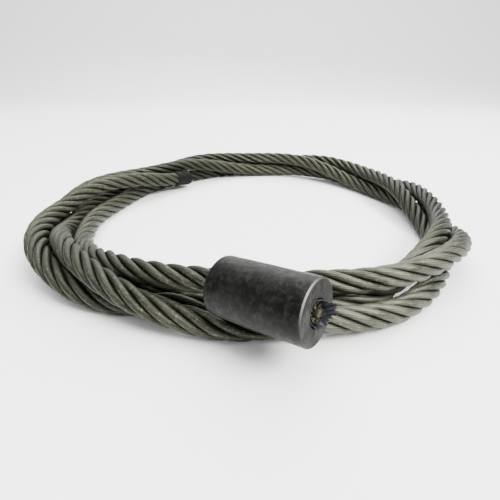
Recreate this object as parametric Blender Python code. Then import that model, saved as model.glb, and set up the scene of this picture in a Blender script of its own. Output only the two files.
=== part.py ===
"""A short wire rope sling, laid in a coil, with one pressed steel ferrule on its end."""
import math

import bmesh
import bpy
import numpy as np
from mathutils import Vector

MM = 0.001

# Rope
ROPE_D = 8.0 * MM
LAY_LENGTH = 44.0 * MM
STATIONS_PER_LAY = 6
STRANDS = 6
STRAND_PITCH_R = 2.85 * MM      # rope axis to strand axis
STRAND_R = 1.10 * MM
STRAND_SIDES = 5
CORE_R = 1.00 * MM
CORE_SIDES = 6
TURN_GAP = 0.35 * MM            # between turns of the coil that touch
FERRULE_GAP = 1.2 * MM          # between those turns and the ferrule

# Coil
COIL_R = 89.5 * MM
FREE_END_ANGLE = 117.0          # where the rope stops, in degrees round the coil
WHOLE_TURNS = 3                 # of the bundle, before the rope stops
COIL_START_ANGLE = 106.0
COIL_ANGLE_STEP = 8.0
WAVES = ((1, 3.4, 62), (2, 4.8, 67), (3, 3.2, 77))  # per round, mm, crest in degrees
BULGES = ((336, 1.2, 20), (128, -2.5, 24), (195, -1.8, 28))  # angle, mm outwards, half-width
BUNDLE_R = 4.9 * MM             # middle of the bundle of turns to each turn's axis
BUNDLE_HEIGHT = 8.9 * MM        # of its middle, where only one turn is on the floor
BUNDLE_SAG = 1.2 * MM           # half of what it drops where two turns are on the floor
TURNS_TWIST = 7.0 / 3.0         # how far the bundle rolls in each turn round the coil
BUNDLE_ROLL = 182.0             # roll, in degrees, at the angle below
BUNDLE_ROLL_AT = 308.0
SPREAD_AT = 268.0               # the turns lie side by side here, below the ferrule
SPREAD_BEFORE = 15.0            # degrees it takes them to get there, and to gather again
SPREAD_AFTER = 28.0
SPREAD_PLACES = ((-15.4, 4.4), (-7.2, 4.3), (1.2, 4.3))  # outwards and up, mm, of each turn there
MIDDLE = Vector((-1.280, -1.941, 0.058)) * MM  # middle of the footprint, moved to the origin

# Ferrule
FERRULE_OD = 17.0 * MM
FERRULE_LENGTH = 28.0 * MM
FERRULE_FACE = np.array((13.3, -105.2, 19.5)) * MM
FERRULE_HEADING = 37.0          # degrees, turned outwards from +X
FERRULE_RISE = 5.7
LEAD_OUT = 3.0 * MM             # rope that stays straight past the ferrule
BORE_R = 4.30 * MM
MOUTH_R = 4.90 * MM             # flared end of the bore, where the rope goes in
LIP_R = 3.65 * MM               # metal pressed inwards round the cut end of the rope
LIP_DEPTH = 1.2 * MM
END_GAP = 0.3 * MM              # cut strands to the lip
CORE_PROUD = 0.5 * MM           # fibre core past the ferrule's face
EDGE = 0.8 * MM
FERRULE_SIDES = 48

# Tape
TAPE_IN_R = 4.25 * MM
TAPE_OUT_R = 4.60 * MM
TAPE_SIDES = 24
TORN_IN_R = 2.95 * MM
TORN_OUT_R = 3.30 * MM
TORN_FLAP = 3.6 * MM
TORN_SIDE = 185.0               # degrees round the ferrule's axis, where the flap is
TORN_STUB = 0.4 * MM            # what is left of it past the face on the other side
TORN_NICK = 0.5 * MM
END_TAPE_LENGTH = 10.0 * MM
END_TAPE_CAP = 0.6 * MM
END_TAPE_DOME = 0.9 * MM
FINE_STEP = 0.5 * MM            # stations along the taped end

# The length next to the ferrule lies inside the bundle: (degrees round the coil, radius, height), mm
INNER_TURN = (
    (250, 84.2, 13.6), (238, 83.4, 11.4), (224, 82.6, 8.2), (205, 81.4, 4.8), (184, 79.5, 4.3),
    (164, 77.5, 4.3), (150, 80.0, 4.3), (138, 83.0, 4.3), (124, 86.5, 4.3),
)
# The free end stands off its place in the bundle: (degrees round the coil, outwards, up), mm
FREE_END = (
    (112, -8.0, 1.5), (122, -7.6, 3.2), (134, -6.5, 5.6), (148, -4.5, 7.2), (162, -3.0, 4.2),
    (176, -1.0, 2.2), (190, 0.0, 0.0),
)

# Settling of the turns against each other
STEP = 4.0 * MM
SETTLE_ROUNDS = 220
FREE_ROUNDS = 12
NEAR_ALONG = 40.0 * MM
BLUR = 3
PUSH_SHARE = 0.35               # of an overlap that each round takes away
SHOVE_SHARE = 0.7


def clear_scene():
    for ob in list(bpy.data.objects):
        bpy.data.objects.remove(ob, do_unlink=True)


def material(name, colour, metallic, roughness):
    mat = bpy.data.materials.new(name)
    mat.use_nodes = True
    shader = mat.node_tree.nodes["Principled BSDF"]
    shader.inputs["Base Color"].default_value = (*colour, 1.0)
    shader.inputs["Metallic"].default_value = metallic
    shader.inputs["Roughness"].default_value = roughness
    return mat


def ferrule_axis():
    """Unit vector from the ferrule's rope side to its face."""
    head = math.radians(FERRULE_HEADING)
    rise = math.radians(FERRULE_RISE)
    level = math.cos(rise)
    return np.array((level * math.cos(head), -level * math.sin(head), math.sin(rise)))


def coil_radius(deg):
    """The hand-laid coil is not quite round."""
    wave = sum(size * math.cos(n * math.radians(deg - crest)) for n, size, crest in WAVES)
    bulge = sum(size * math.exp(-(((deg % 360) - at) / width) ** 2) for at, size, width in BULGES)
    return COIL_R + (wave + bulge) * MM


def place_in_bundle(deg):
    """How far out of the coil's line, and how high, a turn lies at this angle along the rope."""
    roll = math.radians(BUNDLE_ROLL + (BUNDLE_ROLL_AT - deg) * TURNS_TWIST)
    out = BUNDLE_R * math.cos(roll)
    up = BUNDLE_HEIGHT - BUNDLE_SAG * (1 - math.sin(3 * roll)) + BUNDLE_R * math.sin(roll)
    past = (deg % 360) - SPREAD_AT
    flat = math.exp(-(past / (SPREAD_BEFORE if past > 0 else SPREAD_AFTER)) ** 2)
    roll_there = (BUNDLE_ROLL + (BUNDLE_ROLL_AT - deg + past) * TURNS_TWIST) % 360
    rank = 2
    if 90 < roll_there < 210:
        rank = 0
    elif 210 <= roll_there < 330:
        rank = 1
    spread_out, spread_up = SPREAD_PLACES[rank]
    out = (1 - flat) * out + flat * spread_out * MM
    up = (1 - flat) * up + flat * spread_up * MM
    return out, up


def polar(deg, radius, height):
    a = math.radians(deg)
    return np.array((radius * math.cos(a), radius * math.sin(a), height))


def rough_route():
    """The rope's axis from the cut end in the ferrule to the free end, before the turns settle."""
    axis = ferrule_axis()
    quarter = FERRULE_LENGTH / 4
    backs = (LIP_DEPTH + END_GAP, quarter, 2 * quarter, 3 * quarter, 4 * quarter, 4 * quarter + LEAD_OUT)
    points = [FERRULE_FACE - axis * back for back in backs]
    for deg, radius, height in INNER_TURN:
        points.append(polar(deg, radius * MM, height * MM))
    ends = [row[0] for row in FREE_END]
    deg = COIL_START_ANGLE
    turned = 360.0 * WHOLE_TURNS
    while deg >= FREE_END_ANGLE - turned - 0.1:
        out, up = place_in_bundle(deg)
        local = deg + turned
        if local < 180:
            out += float(np.interp(local, ends, [row[1] for row in FREE_END])) * MM
            up += float(np.interp(local, ends, [row[2] for row in FREE_END])) * MM
        points.append(polar(deg, coil_radius(deg) + out, up))
        deg -= COIL_ANGLE_STEP
    return np.array(points)


def even_points(points, step):
    """Points at even steps along a polyline, with both its ends."""
    along = np.r_[0, np.cumsum(np.linalg.norm(np.diff(points, axis=0), axis=1))]
    count = int(round(along[-1] / step))
    at = np.linspace(0, along[-1], count + 1)
    return np.stack([np.interp(at, along, points[:, i]) for i in range(3)], 1)


def smooth_curve(points, step):
    """Points at even steps along a smooth curve through the given ones."""
    p = np.vstack([2 * points[0] - points[1], points, 2 * points[-1] - points[-2]])
    curve = []
    for i in range(1, len(p) - 2):
        a, b, c, d = p[i - 1:i + 3]
        for t in np.arange(24) / 24:
            bend = (2 * a - 5 * b + 4 * c - d) * t * t + (3 * b - a - 3 * c + d) * t ** 3
            curve.append(0.5 * (2 * b + (c - a) * t + bend))
    curve.append(p[-2])
    return even_points(np.array(curve), step)


def blurred(moves, fixed):
    """Each move shared with its neighbours along the rope, as a stiff rope shares it."""
    reach = np.arange(-3 * BLUR, 3 * BLUR + 1)
    weights = np.exp(-0.5 * (reach / BLUR) ** 2)
    weights /= weights.sum()
    padded = np.vstack([np.repeat(moves[:1], 3 * BLUR, 0), moves, np.repeat(moves[-1:], 3 * BLUR, 0)])
    out = np.stack([np.convolve(padded[:, i], weights, "valid") for i in range(3)], 1)
    out[:fixed] = 0
    return out


def settled(start):
    """Turns pushed apart until they rest beside each other, clear of the ferrule and the ground."""
    p = start.copy()
    along = np.arange(len(p)) * STEP
    other = np.abs(along[:, None] - along[None]) > NEAR_ALONG
    radius = np.where(along > along[-1] - END_TAPE_LENGTH - STEP, TAPE_OUT_R, ROPE_D / 2)
    need = radius[:, None] + radius[None] + TURN_GAP
    axis = ferrule_axis()
    tail = FERRULE_FACE - axis * FERRULE_LENGTH
    fixed = int(FERRULE_LENGTH / STEP)
    past_ferrule = along > FERRULE_LENGTH + 20 * MM
    ferrule_need = FERRULE_OD / 2 + ROPE_D / 2 + FERRULE_GAP
    for turn in range(SETTLE_ROUNDS):
        apart = p[:, None] - p[None]
        gap = np.linalg.norm(apart, axis=2) + 1e-9
        push = np.where(other & (gap < need), (need - gap) / gap, 0)
        move = np.einsum("ij,ijk->ik", push, apart) * PUSH_SHARE
        spreading = turn < SETTLE_ROUNDS - FREE_ROUNDS
        if spreading:
            near = tail + np.clip((p - tail) @ axis, 0, FERRULE_LENGTH)[:, None] * axis
            away = p - near
            reach = np.linalg.norm(away, axis=1) + 1e-9
            shove = np.where((reach < ferrule_need) & past_ferrule, (ferrule_need - reach) / reach, 0)
            move += shove[:, None] * away * SHOVE_SHARE
        move[:fixed] = 0
        p = p + move
        p[:, 2] = np.maximum(p[:, 2], ROPE_D / 2)
        if spreading:
            moved = p - start
            p = start + 0.5 * moved + 0.5 * blurred(moved, fixed)
        p[:fixed] = start[:fixed]
        p[:, 2] = np.maximum(p[:, 2], ROPE_D / 2)
    return p


def rope_route():
    return settled(smooth_curve(rough_route(), STEP))


def frames(points):
    """Forward, side and upper unit vectors at each point, turned as little as possible."""
    forward = np.gradient(points, axis=0)
    forward /= np.linalg.norm(forward, axis=1)[:, None]
    side = np.zeros_like(points)
    first = np.cross(forward[0], (0.0, 0.0, 1.0))
    side[0] = first / np.linalg.norm(first)
    for i in range(1, len(points)):
        s = side[i - 1] - forward[i] * np.dot(side[i - 1], forward[i])
        side[i] = s / np.linalg.norm(s)
    return forward, side, np.cross(forward, side)


def finish_object(name, mesh_maker, mat, smooth=True):
    """A named object from a bmesh, closed and facing outwards."""
    bm = bmesh.new()
    mesh_maker(bm)
    bmesh.ops.translate(bm, verts=bm.verts, vec=-MIDDLE)
    bmesh.ops.recalc_face_normals(bm, faces=bm.faces)
    mesh = bpy.data.meshes.new(name)
    bm.to_mesh(mesh)
    bm.free()
    mesh.materials.append(mat)
    for poly in mesh.polygons:
        poly.use_smooth = smooth
    ob = bpy.data.objects.new(name, mesh)
    bpy.context.scene.collection.objects.link(ob)
    return ob


def skin(bm, rings, closed_loop=False):
    """Quads between rings of vertices; end caps unless the rings close on themselves."""
    rows = [[bm.verts.new(co) for co in ring] for ring in rings]
    pairs = list(zip(rows, rows[1:]))
    if closed_loop:
        pairs.append((rows[-1], rows[0]))
    count = len(rows[0])
    for low, high in pairs:
        for k in range(count):
            nxt = (k + 1) % count
            bm.faces.new((low[k], low[nxt], high[nxt], high[k]))
    if not closed_loop:
        bm.faces.new(rows[0][::-1])
        bm.faces.new(rows[-1])


def helix_rings(route, offset, phase, radius, sides):
    """Sections of a strand that winds round the rope's axis, right-handed."""
    stations = even_points(route, LAY_LENGTH / STATIONS_PER_LAY)
    spacing = np.linalg.norm(np.diff(route, axis=0), axis=1).sum() / (len(stations) - 1)
    forward, side, upper = frames(stations)
    rings = []
    for i, centre in enumerate(stations):
        wind = phase + 2 * math.pi * i * spacing / LAY_LENGTH
        hub = centre + offset * (math.cos(wind) * side[i] + math.sin(wind) * upper[i])
        ring = []
        for k in range(sides):
            a = wind + 2 * math.pi * k / sides
            ring.append(hub + radius * (math.cos(a) * side[i] + math.sin(a) * upper[i]))
        rings.append(ring)
    return rings


def make_strands(route, mat):
    for n in range(STRANDS):
        rings = helix_rings(route, STRAND_PITCH_R, 2 * math.pi * n / STRANDS, STRAND_R, STRAND_SIDES)
        finish_object(f"strand_{n + 1}", lambda bm, r=rings: skin(bm, r), mat)


def make_core(route, mat):
    cut_end = FERRULE_FACE + ferrule_axis() * CORE_PROUD
    rings = helix_rings(np.vstack([cut_end, route]), 0.0, 0.0, CORE_R, CORE_SIDES)
    finish_object("fibre_core", lambda bm: skin(bm, rings), mat)


def turned_rings(origin, axis, profile, sides):
    """Rings of a turned body: the profile is (distance along the axis, radius) pairs."""
    side = np.cross(axis, (0.0, 0.0, 1.0))
    side /= np.linalg.norm(side)
    upper = np.cross(side, axis)
    rings = []
    for along, radius in profile:
        ring = []
        for k in range(sides):
            a = 2 * math.pi * k / sides
            here = along(a) if callable(along) else along
            ring.append(origin + axis * here + radius * (math.cos(a) * side + math.sin(a) * upper))
        rings.append(ring)
    return rings


def make_ferrule(mat):
    axis = ferrule_axis()
    tail = FERRULE_FACE - axis * FERRULE_LENGTH
    outer = FERRULE_OD / 2
    length = FERRULE_LENGTH
    profile = (
        (0.0, MOUTH_R), (0.0, outer - EDGE), (EDGE, outer), (length - EDGE, outer),
        (length, outer - EDGE), (length, LIP_R), (length - LIP_DEPTH, LIP_R),
        (length - LIP_DEPTH, BORE_R), (MOUTH_R - BORE_R, BORE_R),
    )
    rings = turned_rings(tail, axis, profile, FERRULE_SIDES)
    finish_object("ferrule", lambda bm: skin(bm, rings, closed_loop=True), mat, smooth=False)


def torn_edge(angle):
    """Outer end of the torn tape, measured from the ferrule's face, at an angle round the axis."""
    flap = max(0.0, math.cos(angle - math.radians(TORN_SIDE))) ** 2
    nick = (1 + math.cos(7 * angle)) / 2
    return TORN_STUB + TORN_FLAP * flap + TORN_NICK * nick


def make_ferrule_tape(mat):
    axis = ferrule_axis()
    seat = -LIP_DEPTH
    profile = ((seat, TORN_IN_R), (seat, TORN_OUT_R), (torn_edge, TORN_OUT_R), (torn_edge, TORN_IN_R))
    rings = turned_rings(FERRULE_FACE, axis, profile, TAPE_SIDES)
    finish_object("ferrule_tape", lambda bm: skin(bm, rings, closed_loop=True), mat)


def make_end_tape(route, mat):
    """A sleeve with a closed, slightly domed end over the rope's free end."""
    dense = even_points(route, FINE_STEP)
    forward, side, upper = frames(dense)
    last = len(dense) - 1

    def ring(past_end, radius):
        i = last + min(0, int(round(past_end / FINE_STEP)))
        centre = dense[i] + forward[i] * max(0.0, past_end)
        out = []
        for k in range(TAPE_SIDES):
            a = 2 * math.pi * k / TAPE_SIDES
            out.append(centre + radius * (math.cos(a) * side[i] + math.sin(a) * upper[i]))
        return out

    gap = END_GAP
    lengths = (-END_TAPE_LENGTH, -END_TAPE_LENGTH / 2, 0.0)
    inner = [ring(gap, TAPE_IN_R)] + [ring(x, TAPE_IN_R) for x in lengths[::-1]]
    cap = gap + END_TAPE_CAP
    outer = [ring(x, TAPE_OUT_R) for x in lengths]
    dome = ((0.0, 0.93), (0.7, 0.6), (1.0, 0.2))
    outer += [ring(cap + rise * END_TAPE_DOME, shrink * TAPE_OUT_R) for rise, shrink in dome]
    finish_object("end_tape", lambda bm: skin(bm, inner + outer), mat)


def main():
    clear_scene()
    route = rope_route()
    wire = material("galvanised_wire", (0.42, 0.43, 0.38), 0.9, 0.45)
    fibre = material("fibre", (0.30, 0.22, 0.10), 0.0, 0.9)
    steel = material("pressed_steel", (0.16, 0.15, 0.16), 0.8, 0.5)
    tape = material("black_tape", (0.02, 0.02, 0.025), 0.0, 0.5)
    make_strands(route, wire)
    make_core(route, fibre)
    make_ferrule(steel)
    make_ferrule_tape(tape)
    make_end_tape(route, tape)
    corners = [ob.matrix_world @ Vector(c) for ob in bpy.data.objects for c in ob.bound_box]
    low = [round(min(c[i] for c in corners) / MM, 3) for i in range(3)]
    high = [round(max(c[i] for c in corners) / MM, 3) for i in range(3)]
    length = np.linalg.norm(np.diff(route, axis=0), axis=1).sum() / MM
    print("box mm", low, high, "rope mm", round(float(length), 1))


main()
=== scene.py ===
"""Looks of the wire rope sling: real wires in the strands, pressed ferrule, torn and wound tape."""
import math
import random

import bmesh
import bpy
import numpy as np
from mathutils import Matrix, Vector


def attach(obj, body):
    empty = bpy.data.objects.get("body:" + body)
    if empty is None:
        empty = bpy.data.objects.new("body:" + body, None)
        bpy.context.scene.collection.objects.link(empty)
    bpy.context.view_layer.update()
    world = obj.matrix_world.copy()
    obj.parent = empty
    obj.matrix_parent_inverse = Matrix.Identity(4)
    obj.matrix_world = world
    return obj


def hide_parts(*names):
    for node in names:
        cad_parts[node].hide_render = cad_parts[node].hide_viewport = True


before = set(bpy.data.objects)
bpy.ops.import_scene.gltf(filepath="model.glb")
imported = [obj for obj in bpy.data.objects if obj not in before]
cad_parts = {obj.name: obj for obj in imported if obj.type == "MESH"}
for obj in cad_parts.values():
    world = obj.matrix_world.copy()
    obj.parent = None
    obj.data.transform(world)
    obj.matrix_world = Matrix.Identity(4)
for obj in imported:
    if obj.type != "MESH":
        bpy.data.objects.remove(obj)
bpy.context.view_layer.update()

MM = 0.001

# ---------------------------------------------------------------- the rope's route, as the solids have it
ROPE_D = 8.0 * MM
LAY_LENGTH = 44.0 * MM
TURN_GAP = 0.35 * MM
FERRULE_GAP = 1.2 * MM
COIL_R = 89.5 * MM
FREE_END_ANGLE = 117.0
WHOLE_TURNS = 3
COIL_START_ANGLE = 106.0
COIL_ANGLE_STEP = 8.0
WAVES = ((1, 3.4, 62), (2, 4.8, 67), (3, 3.2, 77))
BULGES = ((336, 1.2, 20), (128, -2.5, 24), (195, -1.8, 28))
BUNDLE_R = 4.9 * MM
BUNDLE_HEIGHT = 8.9 * MM
BUNDLE_SAG = 1.2 * MM
TURNS_TWIST = 7.0 / 3.0
BUNDLE_ROLL = 182.0
BUNDLE_ROLL_AT = 308.0
SPREAD_AT = 268.0
SPREAD_BEFORE = 15.0
SPREAD_AFTER = 28.0
SPREAD_PLACES = ((-15.4, 4.4), (-7.2, 4.3), (1.2, 4.3))
MIDDLE = np.array((-1.280, -1.941, 0.058)) * MM
FERRULE_OD = 17.0 * MM
FERRULE_LENGTH = 28.0 * MM
FERRULE_FACE = np.array((13.3, -105.2, 19.5)) * MM
FERRULE_HEADING = 37.0
FERRULE_RISE = 5.7
LEAD_OUT = 3.0 * MM
BORE_R = 4.30 * MM
MOUTH_R = 4.90 * MM
LIP_R = 3.65 * MM
LIP_DEPTH = 1.2 * MM
END_GAP = 0.3 * MM
CORE_PROUD = 0.5 * MM
TORN_IN_R = 2.95 * MM
TORN_OUT_R = 3.30 * MM
TAPE_OUT_R = 4.60 * MM
TAPE_IN_R = 4.25 * MM
END_TAPE_LENGTH = 10.0 * MM
INNER_TURN = (
    (250, 84.2, 13.6), (238, 83.4, 11.4), (224, 82.6, 8.2), (205, 81.4, 4.8), (184, 79.5, 4.3),
    (164, 77.5, 4.3), (150, 80.0, 4.3), (138, 83.0, 4.3), (124, 86.5, 4.3),
)
FREE_END = (
    (112, -8.0, 1.5), (122, -7.6, 3.2), (134, -6.5, 5.6), (148, -4.5, 7.2), (162, -3.0, 4.2),
    (176, -1.0, 2.2), (190, 0.0, 0.0),
)
STEP = 4.0 * MM
SETTLE_ROUNDS = 220
FREE_ROUNDS = 12
NEAR_ALONG = 40.0 * MM
BLUR = 3
PUSH_SHARE = 0.35               # of an overlap that each round takes away
SHOVE_SHARE = 0.7


def ferrule_axis():
    head = math.radians(FERRULE_HEADING)
    rise = math.radians(FERRULE_RISE)
    level = math.cos(rise)
    return np.array((level * math.cos(head), -level * math.sin(head), math.sin(rise)))


def coil_radius(deg):
    wave = sum(size * math.cos(n * math.radians(deg - crest)) for n, size, crest in WAVES)
    bulge = sum(size * math.exp(-(((deg % 360) - at) / width) ** 2) for at, size, width in BULGES)
    return COIL_R + (wave + bulge) * MM


def place_in_bundle(deg):
    roll = math.radians(BUNDLE_ROLL + (BUNDLE_ROLL_AT - deg) * TURNS_TWIST)
    out = BUNDLE_R * math.cos(roll)
    up = BUNDLE_HEIGHT - BUNDLE_SAG * (1 - math.sin(3 * roll)) + BUNDLE_R * math.sin(roll)
    past = (deg % 360) - SPREAD_AT
    flat = math.exp(-(past / (SPREAD_BEFORE if past > 0 else SPREAD_AFTER)) ** 2)
    roll_there = (BUNDLE_ROLL + (BUNDLE_ROLL_AT - deg + past) * TURNS_TWIST) % 360
    rank = 2
    if 90 < roll_there < 210:
        rank = 0
    elif 210 <= roll_there < 330:
        rank = 1
    spread_out, spread_up = SPREAD_PLACES[rank]
    out = (1 - flat) * out + flat * spread_out * MM
    up = (1 - flat) * up + flat * spread_up * MM
    return out, up


def polar(deg, radius, height):
    a = math.radians(deg)
    return np.array((radius * math.cos(a), radius * math.sin(a), height))


def rough_route():
    axis = ferrule_axis()
    quarter = FERRULE_LENGTH / 4
    backs = (LIP_DEPTH + END_GAP, quarter, 2 * quarter, 3 * quarter, 4 * quarter, 4 * quarter + LEAD_OUT)
    points = [FERRULE_FACE - axis * back for back in backs]
    for deg, radius, height in INNER_TURN:
        points.append(polar(deg, radius * MM, height * MM))
    ends = [row[0] for row in FREE_END]
    deg = COIL_START_ANGLE
    turned = 360.0 * WHOLE_TURNS
    while deg >= FREE_END_ANGLE - turned - 0.1:
        out, up = place_in_bundle(deg)
        local = deg + turned
        if local < 180:
            out += float(np.interp(local, ends, [row[1] for row in FREE_END])) * MM
            up += float(np.interp(local, ends, [row[2] for row in FREE_END])) * MM
        points.append(polar(deg, coil_radius(deg) + out, up))
        deg -= COIL_ANGLE_STEP
    return np.array(points)


def even_points(points, step):
    along = np.r_[0, np.cumsum(np.linalg.norm(np.diff(points, axis=0), axis=1))]
    count = int(round(along[-1] / step))
    at = np.linspace(0, along[-1], count + 1)
    return np.stack([np.interp(at, along, points[:, i]) for i in range(3)], 1)


def smooth_curve(points, step):
    p = np.vstack([2 * points[0] - points[1], points, 2 * points[-1] - points[-2]])
    curve = []
    for i in range(1, len(p) - 2):
        a, b, c, d = p[i - 1:i + 3]
        for t in np.arange(24) / 24:
            bend = (2 * a - 5 * b + 4 * c - d) * t * t + (3 * b - a - 3 * c + d) * t ** 3
            curve.append(0.5 * (2 * b + (c - a) * t + bend))
    curve.append(p[-2])
    return even_points(np.array(curve), step)


def blurred(moves, fixed):
    reach = np.arange(-3 * BLUR, 3 * BLUR + 1)
    weights = np.exp(-0.5 * (reach / BLUR) ** 2)
    weights /= weights.sum()
    padded = np.vstack([np.repeat(moves[:1], 3 * BLUR, 0), moves, np.repeat(moves[-1:], 3 * BLUR, 0)])
    out = np.stack([np.convolve(padded[:, i], weights, "valid") for i in range(3)], 1)
    out[:fixed] = 0
    return out


def settled(start):
    p = start.copy()
    along = np.arange(len(p)) * STEP
    other = np.abs(along[:, None] - along[None]) > NEAR_ALONG
    radius = np.where(along > along[-1] - END_TAPE_LENGTH - STEP, TAPE_OUT_R, ROPE_D / 2)
    need = radius[:, None] + radius[None] + TURN_GAP
    axis = ferrule_axis()
    tail = FERRULE_FACE - axis * FERRULE_LENGTH
    fixed = int(FERRULE_LENGTH / STEP)
    past_ferrule = along > FERRULE_LENGTH + 20 * MM
    ferrule_need = FERRULE_OD / 2 + ROPE_D / 2 + FERRULE_GAP
    for turn in range(SETTLE_ROUNDS):
        apart = p[:, None] - p[None]
        gap = np.linalg.norm(apart, axis=2) + 1e-9
        push = np.where(other & (gap < need), (need - gap) / gap, 0)
        move = np.einsum("ij,ijk->ik", push, apart) * PUSH_SHARE
        spreading = turn < SETTLE_ROUNDS - FREE_ROUNDS
        if spreading:
            near = tail + np.clip((p - tail) @ axis, 0, FERRULE_LENGTH)[:, None] * axis
            away = p - near
            reach = np.linalg.norm(away, axis=1) + 1e-9
            shove = np.where((reach < ferrule_need) & past_ferrule, (ferrule_need - reach) / reach, 0)
            move += shove[:, None] * away * SHOVE_SHARE
        move[:fixed] = 0
        p = p + move
        p[:, 2] = np.maximum(p[:, 2], ROPE_D / 2)
        if spreading:
            moved = p - start
            p = start + 0.5 * moved + 0.5 * blurred(moved, fixed)
        p[:fixed] = start[:fixed]
        p[:, 2] = np.maximum(p[:, 2], ROPE_D / 2)
    return p


def frames(points):
    forward = np.gradient(points, axis=0)
    forward /= np.linalg.norm(forward, axis=1)[:, None]
    side = np.zeros_like(points)
    first = np.cross(forward[0], (0.0, 0.0, 1.0))
    side[0] = first / np.linalg.norm(first)
    for i in range(1, len(points)):
        s = side[i - 1] - forward[i] * np.dot(side[i - 1], forward[i])
        side[i] = s / np.linalg.norm(s)
    return forward, side, np.cross(forward, side)


AXIS = ferrule_axis()
FACE = FERRULE_FACE - MIDDLE
SIDE = np.cross(AXIS, (0.0, 0.0, 1.0))
SIDE /= np.linalg.norm(SIDE)
UPPER = np.cross(SIDE, AXIS)
ROUTE = settled(smooth_curve(rough_route(), STEP)) - MIDDLE


# ---------------------------------------------------------------- camera
def make_camera():
    cam = bpy.data.cameras.new("camera")
    ob = bpy.data.objects.new("camera", cam)
    bpy.context.scene.collection.objects.link(ob)
    pitch = math.radians(25.8)
    yaw = math.radians(1.2)
    roll = math.radians(0.47)
    ahead = Vector((math.sin(yaw) * math.cos(pitch), math.cos(yaw) * math.cos(pitch), -math.sin(pitch)))
    right = Vector((math.cos(yaw), -math.sin(yaw), 0.0))
    up = right.cross(ahead)
    level = right * math.cos(roll) + up * math.sin(roll)
    upright = up * math.cos(roll) - right * math.sin(roll)
    rot = Matrix((level, upright, -ahead)).transposed().to_4x4()
    ob.matrix_world = Matrix.Translation(Vector((-2.32, -171.40, 68.375)) * MM) @ rot
    cam.sensor_width = 36.0
    cam.lens = 26.25
    cam.clip_start = 0.005
    bpy.context.scene.camera = ob


make_camera()


# ---------------------------------------------------------------- mesh helpers
def link(name, mesh, mats, smooth=True):
    for m in mats:
        mesh.materials.append(m)
    mesh.polygons.foreach_set("use_smooth", [smooth] * len(mesh.polygons))
    ob = bpy.data.objects.new(name, mesh)
    bpy.context.scene.collection.objects.link(ob)
    return ob


def grid_mesh(name, verts, faces, attributes=None, mat_index=None):
    mesh = bpy.data.meshes.new(name)
    mesh.from_pydata([tuple(v) for v in verts], [], faces)
    for key, values in (attributes or {}).items():
        layer = mesh.attributes.new(key, "FLOAT", "POINT")
        layer.data.foreach_set("value", np.asarray(values, dtype=np.float32))
    if mat_index is not None:
        mesh.polygons.foreach_set("material_index", np.asarray(mat_index, dtype=np.int32))
    mesh.update()
    return mesh


def ring_faces(rings, count, start=0, close=False):
    """Quads between rings of count vertices each."""
    faces = []
    last = rings if close else rings - 1
    for i in range(last):
        a = start + i * count
        b = start + ((i + 1) % rings) * count
        for k in range(count):
            n = (k + 1) % count
            faces.append((a + k, a + n, b + n, b + k))
    return faces


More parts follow.
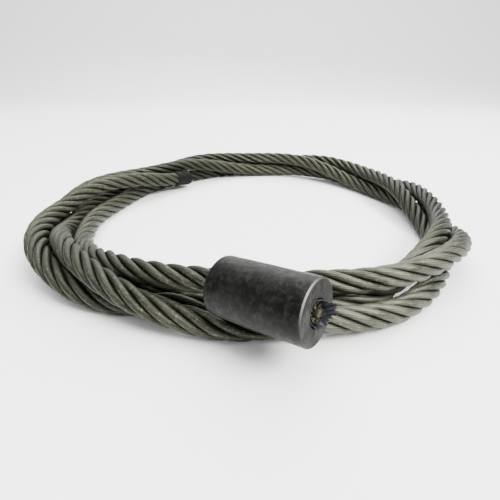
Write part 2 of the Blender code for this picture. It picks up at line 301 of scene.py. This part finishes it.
# ---------------------------------------------------------------- node helpers
class Nodes:
    def __init__(self, name):
        self.mat = bpy.data.materials.new(name)
        self.mat.use_nodes = True
        self.tree = self.mat.node_tree
        self.tree.nodes.clear()
        out = self.tree.nodes.new("ShaderNodeOutputMaterial")
        self.shader = self.tree.nodes.new("ShaderNodeBsdfPrincipled")
        self.tree.links.new(self.shader.outputs[0], out.inputs[0])
        coords = self.tree.nodes.new("ShaderNodeTexCoord")
        self.coords = coords.outputs["Object"]

    def put(self, socket, value):
        if isinstance(value, bpy.types.NodeSocket):
            self.tree.links.new(value, socket)
        elif isinstance(value, (tuple, list)) and len(value) == 3 and socket.type == "RGBA":
            socket.default_value = (*value, 1.0)
        else:
            socket.default_value = value

    def set(self, name, value):
        self.put(self.shader.inputs[name], value)

    def noise(self, scale, detail=4.0, rough=0.6, vector=None, distortion=0.0):
        n = self.tree.nodes.new("ShaderNodeTexNoise")
        self.put(n.inputs["Vector"], vector or self.coords)
        n.inputs["Scale"].default_value = scale
        n.inputs["Detail"].default_value = detail
        n.inputs["Roughness"].default_value = rough
        n.inputs["Distortion"].default_value = distortion
        return n.outputs[0]

    def ramp(self, value, stops, interpolation="LINEAR"):
        n = self.tree.nodes.new("ShaderNodeValToRGB")
        n.color_ramp.interpolation = interpolation
        while len(n.color_ramp.elements) > 1:
            n.color_ramp.elements.remove(n.color_ramp.elements[-1])
        first, *rest = stops
        n.color_ramp.elements[0].position = first[0]
        n.color_ramp.elements[0].color = (*first[1], 1.0)
        for pos, colour in rest:
            e = n.color_ramp.elements.new(pos)
            e.color = (*colour, 1.0)
        self.put(n.inputs[0], value)
        return n.outputs[0]

    def math(self, op, a, b=0.0, c=0.0, clamp=False):
        n = self.tree.nodes.new("ShaderNodeMath")
        n.operation = op
        n.use_clamp = clamp
        for socket, value in zip(n.inputs, (a, b, c)):
            self.put(socket, value)
        return n.outputs[0]

    def span(self, value, low, high, to_low=0.0, to_high=1.0):
        n = self.tree.nodes.new("ShaderNodeMapRange")
        for socket, v in zip(n.inputs, (value, low, high, to_low, to_high)):
            self.put(socket, v)
        return n.outputs[0]

    def mix(self, factor, a, b, blend="MIX"):
        n = self.tree.nodes.new("ShaderNodeMix")
        n.data_type = "RGBA"
        n.blend_type = blend
        self.put(n.inputs[0], factor)
        self.put(n.inputs[6], a)
        self.put(n.inputs[7], b)
        return n.outputs[2]

    def attribute(self, name):
        n = self.tree.nodes.new("ShaderNodeAttribute")
        n.attribute_name = name
        return n.outputs["Fac"]

    def near(self, place, reach):
        """1 at a place on the object, falling to 0 at this distance from it."""
        n = self.tree.nodes.new("ShaderNodeVectorMath")
        n.operation = "DISTANCE"
        self.put(n.inputs[0], self.coords)
        n.inputs[1].default_value = place
        return self.span(n.outputs["Value"], 0.25 * reach, reach, 1.0, 0.0)

    def stretched(self, scale, direction=None):
        n = self.tree.nodes.new("ShaderNodeMapping")
        n.inputs["Scale"].default_value = scale
        if direction is not None:
            n.inputs["Rotation"].default_value = direction
        self.put(n.inputs["Vector"], self.coords)
        return n.outputs[0]

    def bump(self, height, strength, distance, normal=None):
        n = self.tree.nodes.new("ShaderNodeBump")
        n.inputs["Strength"].default_value = strength
        n.inputs["Distance"].default_value = distance
        self.put(n.inputs["Height"], height)
        if normal is not None:
            self.put(n.inputs["Normal"], normal)
        return n.outputs[0]


# ---------------------------------------------------------------- materials
def wire_material():
    n = Nodes("galvanised_wire")
    groove = n.attribute("groove")
    depth = n.attribute("depth")
    tone = n.attribute("tone")
    cloud = n.noise(110.0, 5.0, 0.6)
    patch = n.noise(30.0, 3.0, 0.5)
    fine = n.noise(2600.0, 3.0, 0.7)
    speck = n.noise(1100.0, 2.0, 0.5)
    zinc = n.ramp(cloud,
        ((0.28, (0.018, 0.020, 0.011)),
         (0.5, (0.034, 0.037, 0.023)),
         (0.72, (0.060, 0.062, 0.043))))
    zinc = n.mix(n.span(patch, 0.35, 0.7, 0.0, 0.45), zinc, (0.021, 0.023, 0.014))
    zinc = n.mix(n.span(tone, 0.0, 1.0, 0.0, 0.45), zinc, (0.095, 0.096, 0.072))
    # painted glints: small bright specks mixed into the zinc colour
    painted_glints = n.span(n.math("MULTIPLY", speck, fine), 0.30, 0.42, 0.0, 0.45)
    zinc = n.mix(painted_glints, zinc, (0.30, 0.30, 0.25))
    # painted shade on the lengths at the right, back left and front left; a painted pool of light on the rope
    # beside the ferrule
    painted_shade = n.math("MAXIMUM", n.near((0.094, 0.000, 0.012), 0.066), n.near((-0.060, 0.085, 0.012), 0.070))
    painted_shade = n.math("MAXIMUM", painted_shade, n.math("MULTIPLY", n.near((-0.055, -0.075, 0.010), 0.055), 0.6))
    zinc = n.mix(n.math("MULTIPLY", painted_shade, 0.74), zinc, (0.011, 0.012, 0.008))
    # painted light: the rope beside the ferrule is mixed toward a bright zinc
    painted_light = n.near((0.044, -0.088, 0.014), 0.050)
    painted_light = n.math("MULTIPLY", painted_light, n.span(cloud, 0.38, 0.58, 0.12, 0.62))
    zinc = n.mix(painted_light, zinc, (0.165, 0.167, 0.134))
    # darker in the grooves between wires and on the strands' inner sides: partly oil and dirt, partly painted
    # shade
    groove_dirt_and_shade = n.mix(n.span(groove, 0.0, 0.8), (0.10, 0.097, 0.070), (1.0, 1.0, 1.0))
    strand_gap_dirt_and_shade = n.mix(n.span(depth, 0.45, 0.92), (0.12, 0.117, 0.085), (1.0, 1.0, 1.0))
    colour = n.mix(1.0, n.mix(1.0, zinc, groove_dirt_and_shade, "MULTIPLY"), strand_gap_dirt_and_shade, "MULTIPLY")
    n.set("Base Color", colour)
    n.set("Metallic", 0.70)
    n.set("Specular IOR Level", 0.25)
    n.set("Roughness", n.span(n.math("ADD", cloud, n.math("MULTIPLY", fine, 0.5)), 0.45, 1.05, 0.40, 0.66))
    n.set("Normal", n.bump(n.math("ADD", fine, n.math("MULTIPLY", speck, 0.6)), 0.40, 0.00007))
    return n.mat


def scale_material():
    """Dark mill scale on the ferrule's barrel, with smudges drawn out along it."""
    n = Nodes("pressed_steel")
    drawn = n.stretched((0.25, 1.0, 1.0), (0.0, 0.0, math.radians(FERRULE_HEADING)))
    blotch = n.noise(620.0, 6.0, 0.70, distortion=0.2)
    smudge = n.noise(230.0, 4.0, 0.6, vector=drawn)
    grain = n.noise(1900.0, 4.0, 0.7)
    patch = n.noise(75.0, 3.0, 0.5)
    colour = n.ramp(blotch,
        ((0.40, (0.0010, 0.0010, 0.0008)),
         (0.50, (0.0036, 0.0036, 0.0030)),
         (0.62, (0.0125, 0.0123, 0.0104))))
    colour = n.mix(n.span(smudge, 0.45, 0.72, 0.0, 0.55), colour, (0.0022, 0.0021, 0.0020))
    colour = n.mix(n.span(patch, 0.50, 0.72, 0.0, 0.45), colour, (0.0140, 0.0137, 0.0118))
    # painted highlight: the front rim's upper-left arc is mixed toward a light grey, grain-speckled; the
    # mouth rim is lightened slightly
    edge_lightening = n.attribute("edge")
    rim_light_mask = n.math("MULTIPLY", edge_lightening, n.span(grain, 0.20, 0.50, 0.55, 1.0), clamp=True)
    colour = n.mix(rim_light_mask, colour, (0.24, 0.232, 0.224))
    n.set("Base Color", colour)
    n.set("Metallic", 0.25)
    n.set("Specular IOR Level", 0.10)
    n.set("Roughness", n.span(blotch, 0.3, 0.7, 0.52, 0.38))
    n.set("Normal", n.bump(n.math("ADD", blotch, n.math("MULTIPLY", grain, 0.6)), 0.35, 0.00010))
    return n.mat


def face_material():
    """The machined end face: faint turning rings under a dull grey skin."""
    n = Nodes("machined_steel")
    out = n.attribute("out")
    blotch = n.noise(330.0, 6.0, 0.66, distortion=0.3)
    grain = n.noise(2100.0, 3.0, 0.7)
    rings = n.math("SINE", n.math("MULTIPLY", out, 19000.0))
    colour = n.ramp(blotch,
        ((0.32, (0.0050, 0.0047, 0.0042)),
         (0.5, (0.0130, 0.0124, 0.0114)),
         (0.68, (0.028, 0.0268, 0.0250))))
    spots = n.span(n.noise(800.0, 2.0, 0.5), 0.66, 0.72)
    colour = n.mix(n.math("MULTIPLY", spots, 0.75), colour, (0.008, 0.007, 0.006))
    # darker towards the bore
    near_bore = n.span(out, 0.0040, 0.0052, 0.55, 0.0)
    colour = n.mix(n.math("MAXIMUM", near_bore, 0.0), colour, (0.012, 0.011, 0.010))
    n.set("Base Color", colour)
    n.set("Metallic", 0.6)
    n.set("Specular IOR Level", 0.10)
    n.set("Roughness", n.span(blotch, 0.3, 0.7, 0.72, 0.58))
    height = n.math("ADD", n.math("MULTIPLY", rings, 0.20), n.math("ADD", blotch, grain))
    n.set("Normal", n.bump(height, 0.22, 0.00006))
    return n.mat


def tape_material(name, low, high, rough, shine):
    n = Nodes(name)
    cloud = n.noise(400.0, 4.0, 0.6)
    fine = n.noise(2200.0, 3.0, 0.6)
    n.set("Base Color", n.ramp(cloud, ((0.3, low), (0.7, high))))
    n.set("Roughness", n.span(fine, 0.3, 0.7, rough - 0.08, rough + 0.14))
    n.set("Specular IOR Level", shine)
    n.set("Normal", n.bump(n.math("ADD", cloud, fine), 0.5, 0.00012))
    return n.mat


def fibre_material():
    n = Nodes("fibre")
    cloud = n.noise(900.0, 4.0, 0.7)
    n.set("Base Color", n.ramp(cloud,
        ((0.3, (0.006, 0.005, 0.0015)),
         (0.5, (0.015, 0.0125, 0.0042)),
         (0.7, (0.058, 0.044, 0.015)))))
    n.set("Roughness", 0.9)
    n.set("Normal", n.bump(cloud, 0.6, 0.0001))
    return n.mat


def cut_wire_material():
    n = Nodes("cut_wire")
    cloud = n.noise(1200.0, 3.0, 0.6)
    n.set("Base Color", n.ramp(cloud, ((0.3, (0.012, 0.012, 0.009)), (0.7, (0.09, 0.085, 0.062)))))
    n.set("Metallic", 0.8)
    n.set("Roughness", n.span(cloud, 0.3, 0.7, 0.5, 0.3))
    n.set("Normal", n.bump(cloud, 0.3, 0.00005))
    return n.mat


def floor_material():
    n = Nodes("pale_floor")
    cloud = n.noise(6.0, 3.0, 0.5)
    n.set("Base Color", n.ramp(cloud, ((0.3, (0.925, 0.925, 0.925)), (0.7, (0.945, 0.945, 0.945)))))
    n.set("Roughness", 0.75)
    return n.mat


WIRE = wire_material()
SCALE = scale_material()
MACHINED = face_material()
TORN_TAPE = tape_material("torn_tape", (0.003, 0.0034, 0.0045), (0.011, 0.0130, 0.018), 0.46, 0.25)
BLACK_TAPE = tape_material("black_tape", (0.002, 0.002, 0.002), (0.006, 0.006, 0.006), 0.70, 0.08)
FIBRE = fibre_material()
CUT_WIRE = cut_wire_material()

# ---------------------------------------------------------------- the rope
STRANDS = 6
STRAND_PITCH_R = 2.735 * MM
STRAND_R = 1.255 * MM
WIRES = 12                      # outer wires of a strand
POINTS_PER_WIRE = 3
WIRE_GROOVE = 0.15 * MM
WIRE_LAY = 25.0 * MM
RING_STEP = 1.7 * MM


def rope_mesh():
    stations = even_points(ROUTE, RING_STEP)
    count = len(stations)
    spacing = np.linalg.norm(np.diff(ROUTE, axis=0), axis=1).sum() / (count - 1)
    _, side, upper = frames(stations)
    along = np.arange(count) * spacing
    sides = WIRES * POINTS_PER_WIRE
    beta0 = 2 * np.pi * np.arange(sides) / sides
    lobe = np.abs(np.sin(WIRES * beta0 / 2 + np.pi / (2 * POINTS_PER_WIRE)))
    lean = math.cos(math.atan(2 * math.pi * STRAND_PITCH_R / LAY_LENGTH))
    rng = np.random.default_rng(7)
    verts, grooves, depths, tones, faces = [], [], [], [], []
    base = 0
    for n in range(STRANDS):
        wind = 2 * np.pi * n / STRANDS + 2 * np.pi * along / LAY_LENGTH
        radial = np.cos(wind)[:, None] * side + np.sin(wind)[:, None] * upper
        around = -np.sin(wind)[:, None] * side + np.cos(wind)[:, None] * upper
        wander = np.interp(along, np.linspace(0, along[-1], 60), rng.normal(0, 0.035 * MM, 60))
        hub = stations + (STRAND_PITCH_R + wander)[:, None] * radial
        beta = beta0[None] - 2 * np.pi * along[:, None] / WIRE_LAY
        r = STRAND_R - WIRE_GROOVE * (1 - lobe[None]) + 0 * beta
        x = r * np.cos(beta)
        y = r * np.sin(beta) / lean
        ring = hub[:, None] + x[..., None] * radial[:, None] + y[..., None] * around[:, None]
        out = (STRAND_PITCH_R + x) / (STRAND_PITCH_R + STRAND_R)
        per_wire = rng.uniform(0, 1, WIRES)
        tone = np.repeat(per_wire, POINTS_PER_WIRE)[None] * 0.7 + rng.uniform(0, 0.3) + 0 * beta
        verts.append(ring.reshape(-1, 3))
        grooves.append((lobe[None] + 0 * beta).ravel())
        depths.append(out.ravel())
        tones.append(tone.ravel())
        faces += ring_faces(count, sides, base)
        faces.append(tuple(base + k for k in range(sides))[::-1])
        faces.append(tuple(base + (count - 1) * sides + k for k in range(sides)))
        base += count * sides
    return grid_mesh("rope", np.vstack(verts), faces, {
        "groove": np.concatenate(grooves), "depth": np.concatenate(depths), "tone": np.concatenate(tones)})


rope = link("rope", rope_mesh(), [WIRE])


# ---------------------------------------------------------------- the cut end in the ferrule
def end_frame(i=0):
    forward, side, upper = frames(even_points(ROUTE, RING_STEP))
    return forward[i], side[i], upper[i]


def peg(bm, foot, direction, radius, length, sides=8, tip=0.85):
    """A short round wire end with a slightly chamfered tip."""
    d = Vector(direction).normalized()
    a = d.orthogonal().normalized()
    b = d.cross(a)
    foot = Vector(foot)
    rows = []
    for along, r in ((0.0, radius), (length * 0.86, radius), (length, radius * tip)):
        rows.append([bm.verts.new(foot + d * along + (a * math.cos(t) + b * math.sin(t)) * r)
                     for t in (2 * math.pi * k / sides for k in range(sides))])
    for low, high in zip(rows, rows[1:]):
        for k in range(sides):
            bm.faces.new((low[k], low[(k + 1) % sides], high[(k + 1) % sides], high[k]))
    bm.faces.new(rows[-1])
    bm.faces.new(rows[0][::-1])


def make_wire_ends():
    """The cut ends of the wires, a little uneven, at the ferrule's face."""
    random.seed(11)
    bm = bmesh.new()
    _, side, upper = end_frame()
    start = ROUTE[0]
    for n in range(STRANDS):
        wind = 2 * math.pi * n / STRANDS
        hub = start + STRAND_PITCH_R * (math.cos(wind) * side + math.sin(wind) * upper)
        for ring_r, count in ((0.0, 1), (0.5 * MM, 6), (0.98 * MM, 12)):
            for k in range(count):
                t = 2 * math.pi * (k + 0.5 * (count == 6)) / count + wind
                wire = hub + ring_r * (math.cos(t) * side + math.sin(t) * upper)
                if np.linalg.norm(wire - start) > 2.7 * MM:
                    continue
                foot = wire - AXIS * 0.3 * MM
                lean = AXIS + 0.10 * (random.uniform(-1, 1) * side + random.uniform(-1, 1) * upper)
                peg(bm, foot, lean, 0.235 * MM, random.uniform(0.7, 2.0) * MM)
    bmesh.ops.recalc_face_normals(bm, faces=bm.faces)
    me = bpy.data.meshes.new("wire_ends")
    bm.to_mesh(me)
    bm.free()
    return link("wire_ends", me, [CUT_WIRE])


def make_fibre_end():
    """Frayed ends of the fibre core, splayed over the middle of the cut."""
    random.seed(5)
    bm = bmesh.new()
    _, side, upper = end_frame()
    start = FACE - AXIS * 0.9 * MM
    for _ in range(80):
        t = random.uniform(0, 2 * math.pi)
        r = 1.5 * MM * math.sqrt(random.random())
        outward = math.cos(t) * side + math.sin(t) * upper
        foot = Vector(start + r * outward)
        d = Vector(AXIS + outward * random.uniform(-0.1, 0.55))
        curl = Vector(outward) * random.uniform(0.0, 0.5) + Vector(UPPER) * random.uniform(-0.3, 0.5)
        length = random.uniform(0.8, 1.9) * MM
        radius = random.uniform(0.05, 0.10) * MM
        rows = []
        for j in range(5):
            f = j / 4
            c = foot + (d * f + curl * f * f * 0.8) * length
            a = d.orthogonal().normalized()
            b = d.cross(a).normalized()
            rr = radius * (1 - 0.55 * f)
            rows.append([bm.verts.new(c + (a * math.cos(q) + b * math.sin(q)) * rr)
                         for q in (2 * math.pi * k / 5 for k in range(5))])
        for low, high in zip(rows, rows[1:]):
            for k in range(5):
                bm.faces.new((low[k], low[(k + 1) % 5], high[(k + 1) % 5], high[k]))
        bm.faces.new(rows[-1])
        bm.faces.new(rows[0][::-1])
    bmesh.ops.recalc_face_normals(bm, faces=bm.faces)
    me = bpy.data.meshes.new("fibre_end")
    bm.to_mesh(me)
    bm.free()
    return link("fibre_end", me, [FIBRE])


wire_ends = make_wire_ends()
fibre_end = make_fibre_end()


# ---------------------------------------------------------------- the ferrule
FERRULE_SIDES = 160
RIM_HIGHLIGHT_AT = math.radians(58)  # round the axis, where a painted highlight brightens the front rim


def ferrule_profile():
    """Rings of (distance from the rope side, radius, material, edge lightening), round the section; the front
    rim's edge lightening is a painted highlight.
    """
    outer = FERRULE_OD / 2
    length = FERRULE_LENGTH
    back = 0.9 * MM
    front = 0.34 * MM
    quarter = [t * math.pi / 10 for t in range(6)]
    rows = [(0.3 * MM, MOUTH_R - 0.2 * MM, 0, 0.0), (0.05 * MM, MOUTH_R, 0, 0.1)]
    rows += [(0.0, r, 0, 0.0) for r in np.linspace(MOUTH_R + 0.4 * MM, outer - back, 5)]
    rows += [(back * (1 - math.cos(t)), outer - back * (1 - math.sin(t)), 0, 0.0) for t in quarter[1:]]
    rows += [(x, outer, 0, 0.0) for x in np.linspace(1.4 * MM, length - 0.42 * MM, 38)]
    rows += [(length - front * (1 - math.sin(t)), outer - front * (1 - math.cos(t)), 0, 0.75)
             for t in quarter[1:]]
    rows += [(length, r, 1, 0.0) for r in np.linspace(outer - front - 0.15 * MM, LIP_R + 0.3 * MM, 10)]
    rows += [(length - 0.06 * MM, LIP_R + 0.08 * MM, 1, 0.0), (length - 0.3 * MM, LIP_R, 1, 0.0)]
    rows += [(length - LIP_DEPTH, LIP_R, 1, 0.0), (length - LIP_DEPTH, BORE_R, 1, 0.0)]
    rows += [(0.9 * MM, BORE_R, 0, 0.0)]
    return rows


def make_ferrule():
    tail = FACE - AXIS * FERRULE_LENGTH
    rows = ferrule_profile()
    outer = FERRULE_OD / 2
    rng = np.random.default_rng(3)
    phases = rng.uniform(0, 2 * np.pi, 6)
    verts, edge, out, index = [], [], [], []
    for along, radius, mat, edge_lightening in rows:
        for k in range(FERRULE_SIDES):
            a = 2 * math.pi * k / FERRULE_SIDES
            r = radius
            x = along
            if radius > outer - 1.0 * MM and 0.4 * MM < along < FERRULE_LENGTH - 0.3 * MM:
                wave = math.sin(3 * a + phases[0] + along * 180) + math.sin(5 * a + phases[1] - along * 320)
                seam = math.exp(-((math.sin((a - 0.55)) / 0.045) ** 2))
                ring = math.exp(-((along - 4.2 * MM) / (0.22 * MM)) ** 2)
                r += (0.018 * wave - 0.03 - 0.05 * seam - 0.05 * ring) * MM
            at_lip = LIP_R - 0.1 * MM < radius < LIP_R + 0.7 * MM
            if mat == 1 and at_lip and x > FERRULE_LENGTH - LIP_DEPTH / 2:
                r += 0.10 * MM * (math.sin(3 * a + phases[2]) + 0.6 * math.sin(7 * a + phases[3])) - 0.05 * MM
            p = tail + AXIS * x + r * (math.cos(a) * SIDE + math.sin(a) * UPPER)
            verts.append(p)
            # painted highlight: the front rim is lightened most at one angle round the axis
            highlight_arc = 0.03 + 0.97 * max(0.0, math.cos(a - RIM_HIGHLIGHT_AT)) ** 6
            edge.append(edge_lightening * highlight_arc if edge_lightening > 0.5 else edge_lightening)
            out.append(r)
    count = len(rows)
    faces = ring_faces(count, FERRULE_SIDES, close=True)
    for i in range(count):
        m = 1 if (rows[i][2] == 1 and rows[(i + 1) % count][2] == 1) else 0
        index += [m] * FERRULE_SIDES
    me = grid_mesh("ferrule_body", verts, faces, {"edge": edge, "out": out}, index)
    bm = bmesh.new()
    bm.from_mesh(me)
    bmesh.ops.recalc_face_normals(bm, faces=bm.faces)
    bm.to_mesh(me)
    bm.free()
    return link("ferrule_body", me, [SCALE, MACHINED])


ferrule = make_ferrule()


# ---------------------------------------------------------------- tape in the ferrule, torn
def make_torn_tape():
    """A wrap of tape through the ferrule's mouth, torn off with one crumpled flap left standing."""
    sides = 168
    rows = 18
    rng = np.random.default_rng(21)
    teeth = np.where(np.arange(49) % 2, rng.uniform(0.45, 1.0, 49), rng.uniform(0.0, 0.35, 49))
    teeth[-1] = teeth[0]
    jag = np.interp(np.arange(sides) / sides, np.linspace(0, 1, 49), teeth)
    seat = -LIP_DEPTH
    verts = []
    for radius in (TORN_OUT_R - 0.04 * MM, TORN_IN_R + 0.06 * MM):
        for j in range(rows):
            f = j / (rows - 1)
            for k in range(sides):
                a = 2 * math.pi * k / sides
                flap = max(0.0, math.cos(a - math.radians(178))) ** 1.2
                hang = max(0.0, math.cos(a - math.radians(282))) ** 3
                end = (-0.35 + 2.7 * flap + 0.5 * hang) * MM + jag[k] * (0.2 + 2.1 * flap + 1.5 * hang) * MM
                x = seat + (end - seat) * f
                past = max(0.0, x - 0.05 * MM)
                fold = 0.17 * math.sin(7 * a + 1.1) + 0.09 * math.sin(17 * a + past * 2200)
                bend = fold * MM * min(1.0, past / (0.9 * MM)) + past * (0.10 * flap + 0.75 * hang)
                r = radius + bend + 0.10 * MM * (jag[k] - 0.5) * min(1.0, past / (0.5 * MM))
                verts.append(FACE + AXIS * x + r * (math.cos(a) * SIDE + math.sin(a) * UPPER))
    faces = ring_faces(rows, sides)
    faces += [f[::-1] for f in ring_faces(rows, sides, rows * sides)]
    for row in (0, rows - 1):
        a, b = row * sides, (rows + row) * sides
        for k in range(sides):
            n = (k + 1) % sides
            quad = (a + k, b + k, b + n, a + n)
            faces.append(quad if row else quad[::-1])
    me = grid_mesh("torn_tape", verts, faces)
    bm = bmesh.new()
    bm.from_mesh(me)
    bmesh.ops.recalc_face_normals(bm, faces=bm.faces)
    bm.to_mesh(me)
    bm.free()
    return link("torn_tape", me, [TORN_TAPE])


torn_tape = make_torn_tape()


# ---------------------------------------------------------------- tape on the free end
def make_end_tape():
    """Tape wound in a slow spiral over the plain end, with a rounded, folded-in tip."""
    dense = even_points(ROUTE, 0.25 * MM)
    forward, side, upper = frames(dense)
    last = len(dense) - 1
    sides = 64
    rows = []
    for x in np.arange(-END_TAPE_LENGTH, 0.61 * MM, 0.25 * MM):
        rows.append((x, 4.42 * MM))
    for t in np.linspace(0.12, math.pi / 2 * 0.96, 9):
        rows.append((0.6 * MM + 1.15 * MM * math.sin(t), 4.42 * MM * math.cos(t) ** 0.55))
    verts = []
    for x, r0 in rows:
        i = last + min(0, int(round(x / (0.25 * MM))))
        centre = dense[i] + forward[i] * max(0.0, x)
        for k in range(sides):
            a = 2 * math.pi * k / sides
            turn = ((x / (4.2 * MM)) - a / (2 * math.pi)) % 1.0
            step = 0.11 * MM * (1 - turn)
            strand = 0.09 * MM * math.cos(6 * (a - 2 * math.pi * x / LAY_LENGTH))
            taper = min(1.0, r0 / (4.3 * MM)) ** 4
            r = r0 + (step + strand - 0.05 * MM) * taper
            verts.append(centre + r * (math.cos(a) * side[i] + math.sin(a) * upper[i]))
    count = len(rows)
    faces = ring_faces(count, sides)
    faces.append(tuple(range(sides))[::-1])
    faces.append(tuple((count - 1) * sides + k for k in range(sides)))
    return link("end_wrap", grid_mesh("end_wrap", verts, faces), [BLACK_TAPE])


end_wrap = make_end_tape()

# ---------------------------------------------------------------- riding, replacing
for piece in (rope, wire_ends, fibre_end, ferrule, torn_tape, end_wrap):
    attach(piece, "root")
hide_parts("strand_1", "strand_2", "strand_3", "strand_4", "strand_5", "strand_6")
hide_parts("ferrule")
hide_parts("ferrule_tape")
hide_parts("end_tape")
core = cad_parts["fibre_core"]
for s in core.material_slots:
    s.material = FIBRE


# ---------------------------------------------------------------- floor and light
def make_floor():
    """A pale sweep: level floor, then a wide curve up to a wall behind."""
    profile = [(-2.0, 0.0), (-1.0, 0.0), (-0.4, 0.0), (0.0, 0.0), (0.4, 0.0), (0.8, 0.0)]
    bend = 0.8
    profile += [(0.8 + bend * math.sin(t), bend * (1 - math.cos(t)))
                for t in (math.pi / 2 * k / 14 for k in range(1, 15))]
    profile += [(0.8 + bend, 1.4), (0.8 + bend, 2.6)]
    across = np.linspace(-3.0, 3.0, 13)
    verts = [(x, y, z) for y, z in profile for x in across]
    wide = len(across)
    faces = [(i * wide + k, i * wide + k + 1, (i + 1) * wide + k + 1, (i + 1) * wide + k)
             for i in range(len(profile) - 1) for k in range(wide - 1)]
    ob = link("floor", grid_mesh("floor", verts, faces), [floor_material()])


def area_light(name, place, target, size, power, colour=(1.0, 1.0, 1.0)):
    data = bpy.data.lights.new(name, "AREA")
    data.shape = "RECTANGLE"
    data.size, data.size_y = size
    data.energy = power
    data.color = colour
    ob = bpy.data.objects.new(name, data)
    bpy.context.scene.collection.objects.link(ob)
    ob.location = place
    ob.rotation_euler = (Vector(target) - Vector(place)).to_track_quat("-Z", "Y").to_euler()


def light_scene():
    world = bpy.data.worlds.new("studio")
    bpy.context.scene.world = world
    world.use_nodes = True
    back = world.node_tree.nodes["Background"]
    back.inputs[0].default_value = (0.95, 0.97, 1.0, 1.0)
    back.inputs[1].default_value = 1.0
    area_light("key", (0.50, -0.45, 0.65), (0.02, -0.03, 0.0), (0.40, 0.35), 22.0, (1.0, 0.99, 0.95))
    area_light("back", (0.15, 0.75, 0.65), (0.0, 0.0, 0.0), (0.9, 0.5), 11.0)
    area_light("top", (0.0, 0.10, 1.2), (0.0, 0.0, 0.0), (1.4, 1.4), 38.0)


make_floor()
light_scene()
